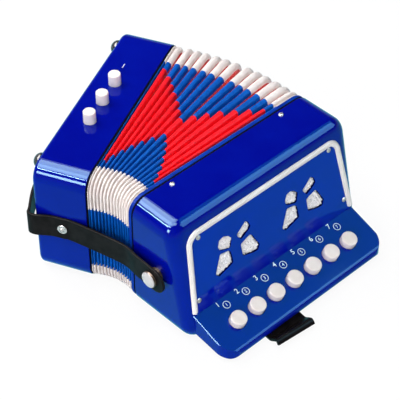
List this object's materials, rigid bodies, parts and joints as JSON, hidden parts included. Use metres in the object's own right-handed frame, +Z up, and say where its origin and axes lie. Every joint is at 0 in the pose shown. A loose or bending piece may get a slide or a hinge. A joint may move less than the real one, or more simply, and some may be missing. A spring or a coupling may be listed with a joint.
{
  "type": "toy button accordion",
  "caption": "Small toy button accordion with rounded boxes, a sloping fingerboard with round buttons, a fanned folding bellows, a hand strap and a strap that snaps over a knob",
  "frame": {"origin": "the middle of the treble box's flat back face, on which the instrument lies", "axes": "+X runs from the bass box to the treble box and its fingerboard, +Y runs along the button row from the strapped side to the open side of the fan, +Z is up, out of the front face with the bass buttons"},
  "size_m": [0.2617, 0.2058, 0.1065],
  "materials": {
    "blue_shell": "glossy moulded royal-blue plastic",
    "blue_panel": "glossy blue plastic",
    "white_plastic": "glossy cream-white plastic",
    "grille_cloth": "thin white woven cloth",
    "black_plastic": "black moulded plastic",
    "pale_wood": "plain pale wood",
    "reed_brass": "plain brass sheet",
    "spring_steel": "bright steel wire",
    "nickel": "nickel plate",
    "black_gasket": "black foam tape",
    "blue_frame": "blue card frame with a glossy paper cover",
    "bronze_knob": "dark bronzed metal",
    "black_strap": "black grained imitation leather",
    "white_button": "glossy white plastic",
    "lever": "grey plastic lever with a felt pad",
    "bellows_paper": "folded card with glossy red, blue and white paper"
  },
  "bodies": {
    "treble": {"treble_case": "blue_shell", "grille_panel": "blue_panel", "panel_trim": "white_plastic", "grille_cloth": "grille_cloth", "fingerboard": "blue_shell", "thumb_rest": "black_plastic", "treble_soundboard": "pale_wood", "treble_reed_block": "pale_wood", "treble_reed_plates": "reed_brass", "lever_shaft": "spring_steel", "lever_springs": "spring_steel", "treble_screws": "nickel", "treble_gasket": "black_gasket", "bellows_frame": "blue_frame", "strap_knob": "bronze_knob", "knob_cap": "white_plastic", "closing_strap": "black_strap"},
    "fold_01": {"fold_01": "bellows_paper"},
    "fold_02": {"fold_02": "bellows_paper"},
    "fold_03": {"fold_03": "bellows_paper"},
    "fold_04": {"fold_04": "bellows_paper"},
    "fold_05": {"fold_05": "bellows_paper"},
    "fold_06": {"fold_06": "bellows_paper"},
    "fold_07": {"fold_07": "bellows_paper"},
    "fold_08": {"fold_08": "bellows_paper"},
    "fold_09": {"fold_09": "bellows_paper"},
    "fold_10": {"fold_10": "bellows_paper"},
    "fold_11": {"fold_11": "bellows_paper"},
    "fold_12": {"fold_12": "bellows_paper"},
    "fold_13": {"fold_13": "bellows_paper"},
    "bass": {"bass_case": "blue_shell", "bass_gasket": "black_gasket", "end_studs": "nickel", "valve_plate": "pale_wood", "bass_reed_block": "pale_wood", "bass_reed_plates": "reed_brass", "hand_strap": "black_strap", "strap_screws": "nickel", "valve_spring_1": "spring_steel", "valve_spring_2": "spring_steel", "valve_spring_3": "spring_steel"},
    "key_1": {"treble_button_1": "white_button", "treble_lever_1": "lever"},
    "key_2": {"treble_button_2": "white_button", "treble_lever_2": "lever"},
    "key_3": {"treble_button_3": "white_button", "treble_lever_3": "lever"},
    "key_4": {"treble_button_4": "white_button", "treble_lever_4": "lever"},
    "key_5": {"treble_button_5": "white_button", "treble_lever_5": "lever"},
    "key_6": {"treble_button_6": "white_button", "treble_lever_6": "lever"},
    "key_7": {"treble_button_7": "white_button", "treble_lever_7": "lever"},
    "valve_1": {"bass_button_1": "white_button"},
    "valve_2": {"bass_button_2": "white_button"},
    "valve_3": {"bass_button_3": "white_button"}
  },
  "joints": [
    {"name": "bellows_fan", "type": "hinge", "parent": "treble", "child": "bass", "pos_m": [-0.04943, -0.091, 0.04875], "axis": [0, 0, 1], "range_deg": [-25.5, 9.5]},
    {"name": "fold_01_turn", "type": "hinge", "parent": "treble", "child": "fold_01", "pos_m": [-0.04943, -0.091, 0.04875], "axis": [0, 0, 1], "range_deg": [-0.78, 0.34]},
    {"name": "fold_02_turn", "type": "hinge", "parent": "fold_01", "child": "fold_02", "pos_m": [-0.04943, -0.091, 0.04875], "axis": [0, 0, 1], "range_deg": [-1.99, 0.79]},
    {"name": "fold_03_turn", "type": "hinge", "parent": "fold_02", "child": "fold_03", "pos_m": [-0.04943, -0.091, 0.04875], "axis": [0, 0, 1], "range_deg": [-2.09, 0.82]},
    {"name": "fold_04_turn", "type": "hinge", "parent": "fold_03", "child": "fold_04", "pos_m": [-0.04943, -0.091, 0.04875], "axis": [0, 0, 1], "range_deg": [-2.55, 1]},
    {"name": "fold_05_turn", "type": "hinge", "parent": "fold_04", "child": "fold_05", "pos_m": [-0.04943, -0.091, 0.04875], "axis": [0, 0, 1], "range_deg": [-1.9, 0.75]},
    {"name": "fold_06_turn", "type": "hinge", "parent": "fold_05", "child": "fold_06", "pos_m": [-0.04943, -0.091, 0.04875], "axis": [0, 0, 1], "range_deg": [-1.99, 0.79]},
    {"name": "fold_07_turn", "type": "hinge", "parent": "fold_06", "child": "fold_07", "pos_m": [-0.04943, -0.091, 0.04875], "axis": [0, 0, 1], "range_deg": [-2.93, 1.13]},
    {"name": "fold_08_turn", "type": "hinge", "parent": "fold_07", "child": "fold_08", "pos_m": [-0.04943, -0.091, 0.04875], "axis": [0, 0, 1], "range_deg": [-2.09, 0.82]},
    {"name": "fold_09_turn", "type": "hinge", "parent": "fold_08", "child": "fold_09", "pos_m": [-0.04943, -0.091, 0.04875], "axis": [0, 0, 1], "range_deg": [-1.81, 0.72]},
    {"name": "fold_10_turn", "type": "hinge", "parent": "fold_09", "child": "fold_10", "pos_m": [-0.04943, -0.091, 0.04875], "axis": [0, 0, 1], "range_deg": [-2.27, 0.89]},
    {"name": "fold_11_turn", "type": "hinge", "parent": "fold_10", "child": "fold_11", "pos_m": [-0.04943, -0.091, 0.04875], "axis": [0, 0, 1], "range_deg": [-1.53, 0.61]},
    {"name": "fold_12_turn", "type": "hinge", "parent": "fold_11", "child": "fold_12", "pos_m": [-0.04943, -0.091, 0.04875], "axis": [0, 0, 1], "range_deg": [-1.53, 0.61]},
    {"name": "fold_13_turn", "type": "hinge", "parent": "fold_12", "child": "fold_13", "pos_m": [-0.04943, -0.091, 0.04875], "axis": [0, 0, 1], "range_deg": [-2.18, 0.86]},
    {"name": "key_1_press", "type": "hinge", "parent": "treble", "child": "key_1", "pos_m": [0.00448, -0.05685, 0.02589], "axis": [0, 1, 0], "range_deg": [0, 3.6], "stiffness_Nm_per_rad": 0.3, "springref_deg": -3.44},
    {"name": "key_2_press", "type": "hinge", "parent": "treble", "child": "key_2", "pos_m": [0.00448, -0.0379, 0.02589], "axis": [0, 1, 0], "range_deg": [0, 3.6], "stiffness_Nm_per_rad": 0.3, "springref_deg": -3.44},
    {"name": "key_3_press", "type": "hinge", "parent": "treble", "child": "key_3", "pos_m": [0.00448, -0.01895, 0.02589], "axis": [0, 1, 0], "range_deg": [0, 3.6], "stiffness_Nm_per_rad": 0.3, "springref_deg": -3.44},
    {"name": "key_4_press", "type": "hinge", "parent": "treble", "child": "key_4", "pos_m": [0.00448, 0, 0.02589], "axis": [0, 1, 0], "range_deg": [0, 3.6], "stiffness_Nm_per_rad": 0.3, "springref_deg": -3.44},
    {"name": "key_5_press", "type": "hinge", "parent": "treble", "child": "key_5", "pos_m": [0.00448, 0.01895, 0.02589], "axis": [0, 1, 0], "range_deg": [0, 3.6], "stiffness_Nm_per_rad": 0.3, "springref_deg": -3.44},
    {"name": "key_6_press", "type": "hinge", "parent": "treble", "child": "key_6", "pos_m": [0.00448, 0.0379, 0.02589], "axis": [0, 1, 0], "range_deg": [0, 3.6], "stiffness_Nm_per_rad": 0.3, "springref_deg": -3.44},
    {"name": "key_7_press", "type": "hinge", "parent": "treble", "child": "key_7", "pos_m": [0.00448, 0.05685, 0.02589], "axis": [0, 1, 0], "range_deg": [0, 3.6], "stiffness_Nm_per_rad": 0.3, "springref_deg": -3.44},
    {"name": "valve_1_press", "type": "slide", "parent": "bass", "child": "valve_1", "axis": [0, 0, -1], "range_m": [0, 0.004], "stiffness_N_per_m": 150, "springref_m": -0.004, "deforming": ["valve_spring_1"]},
    {"name": "valve_2_press", "type": "slide", "parent": "bass", "child": "valve_2", "axis": [0, 0, -1], "range_m": [0, 0.004], "stiffness_N_per_m": 150, "springref_m": -0.004, "deforming": ["valve_spring_2"]},
    {"name": "valve_3_press", "type": "slide", "parent": "bass", "child": "valve_3", "axis": [0, 0, -1], "range_m": [0, 0.004], "stiffness_N_per_m": 150, "springref_m": -0.004, "deforming": ["valve_spring_3"]}
  ],
  "couplings": [
    {"joint": "fold_01_turn", "follows": "bellows_fan", "ratio": 0.029197},
    {"joint": "fold_02_turn", "follows": "bellows_fan", "ratio": 0.076642},
    {"joint": "fold_03_turn", "follows": "bellows_fan", "ratio": 0.080292},
    {"joint": "fold_04_turn", "follows": "bellows_fan", "ratio": 0.09854},
    {"joint": "fold_05_turn", "follows": "bellows_fan", "ratio": 0.072993},
    {"joint": "fold_06_turn", "follows": "bellows_fan", "ratio": 0.076642},
    {"joint": "fold_07_turn", "follows": "bellows_fan", "ratio": 0.11314},
    {"joint": "fold_08_turn", "follows": "bellows_fan", "ratio": 0.080292},
    {"joint": "fold_09_turn", "follows": "bellows_fan", "ratio": 0.069343},
    {"joint": "fold_10_turn", "follows": "bellows_fan", "ratio": 0.087591},
    {"joint": "fold_11_turn", "follows": "bellows_fan", "ratio": 0.058394},
    {"joint": "fold_12_turn", "follows": "bellows_fan", "ratio": 0.058394},
    {"joint": "fold_13_turn", "follows": "bellows_fan", "ratio": 0.083942}
  ]
}
